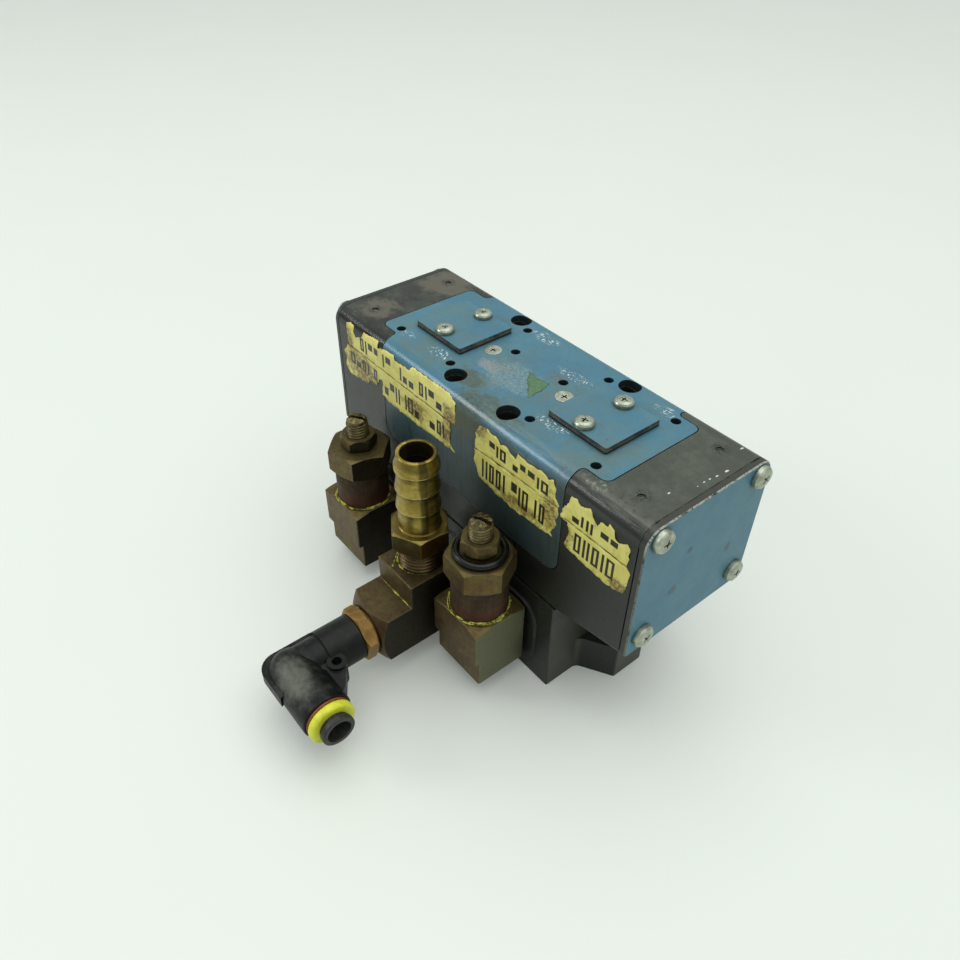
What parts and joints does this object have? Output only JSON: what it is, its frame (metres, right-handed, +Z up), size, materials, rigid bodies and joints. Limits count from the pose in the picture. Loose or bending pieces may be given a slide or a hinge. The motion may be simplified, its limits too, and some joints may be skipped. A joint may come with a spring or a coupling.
{
  "type": "directional control valve",
  "caption": "Five-port air-piloted spool valve on a sub-base, with exhaust restrictors in brass elbows, a hose barb tee and a push-in tube elbow.",
  "frame": {"origin": "centre of the sub-base's footprint, on the surface it stands on", "axes": "+Z up, +X along the valve towards its longer overhang, the fittings stand out towards -Y"},
  "size_m": [0.192, 0.1655, 0.1211],
  "materials": {
    "black_paint": "worn satin black paint",
    "blue_paint": "worn satin blue paint",
    "black_rubber": "matt",
    "zinc_steel": "dull zinc plate",
    "dark_steel": "black oxide",
    "bare_aluminium": "turned",
    "ground_steel": "ground",
    "aged_brass": "dull, oxidised",
    "yellow_brass": "dull",
    "brown_bronze": "brown, fine lines",
    "dark_brass": "dark, oxidised",
    "orange_brass": "orange brown",
    "black_plastic": "satin",
    "dark_plastic": "matt",
    "orange_plastic": "matt",
    "yellow_plastic": "matt"
  },
  "bodies": {
    "valve": {"sub_base": "black_paint", "base_gasket": "black_rubber", "valve_housing": "black_paint", "saddle_cover": "blue_paint", "cover_screws": "zinc_steel", "body_bolts": "dark_steel", "left_end_gasket": "black_rubber", "left_end_plate": "blue_paint", "left_end_screws": "zinc_steel", "right_end_gasket": "black_rubber", "right_end_plate": "blue_paint", "right_end_screws": "zinc_steel", "left_pilot_gasket": "black_rubber", "left_pilot_plate": "blue_paint", "right_pilot_gasket": "black_rubber", "right_pilot_plate": "blue_paint", "pilot_plate_screws": "zinc_steel", "spool_sleeve": "bare_aluminium", "sleeve_seals": "black_rubber", "left_elbow": "aged_brass", "right_elbow": "aged_brass", "left_restrictor_body": "aged_brass", "right_restrictor_body": "aged_brass", "left_filter_sleeve": "brown_bronze", "right_filter_sleeve": "brown_bronze", "left_lock_nut": "aged_brass", "right_lock_nut": "aged_brass", "right_lock_ring": "black_rubber", "supply_tee": "aged_brass", "hose_barb": "yellow_brass", "stud_fitting": "orange_brass", "stud_seal": "black_rubber"},
    "spool_train": {"spool": "ground_steel", "left_pilot_piston": "bare_aluminium", "right_pilot_piston": "bare_aluminium", "left_piston_seal": "black_rubber", "right_piston_seal": "black_rubber"},
    "left_needle": {"left_adjusting_screw": "dark_brass"},
    "right_needle": {"right_adjusting_screw": "dark_brass"},
    "swivel": {"swivel_elbow": "black_plastic", "tube_seal": "black_rubber", "grip_ring": "ground_steel", "tube_liner": "orange_plastic", "tube_ring": "yellow_plastic"},
    "collet": {"release_collet": "dark_plastic"}
  },
  "joints": [
    {"name": "spool_shift", "type": "slide", "parent": "valve", "child": "spool_train", "axis": [1, 0, 0], "range_m": [0, 0.008]},
    {"name": "left_needle_turn", "type": "hinge", "parent": "valve", "child": "left_needle", "pos_m": [-0.0425, -0.0496, 0.07], "axis": [0, 0, 1], "range_deg": [-540, 1080]},
    {"name": "right_needle_turn", "type": "hinge", "parent": "valve", "child": "right_needle", "pos_m": [0.0425, -0.0496, 0.07], "axis": [0, 0, 1], "range_deg": [-540, 1080]},
    {"name": "elbow_swivel", "type": "hinge", "parent": "valve", "child": "swivel", "pos_m": [0.0125, -0.1, 0.0224], "axis": [0, 1, 0], "continuous": true},
    {"name": "collet_press", "type": "slide", "parent": "swivel", "child": "collet", "axis": [-1, 0, 0], "range_m": [0, 0.0012]}
  ]
}
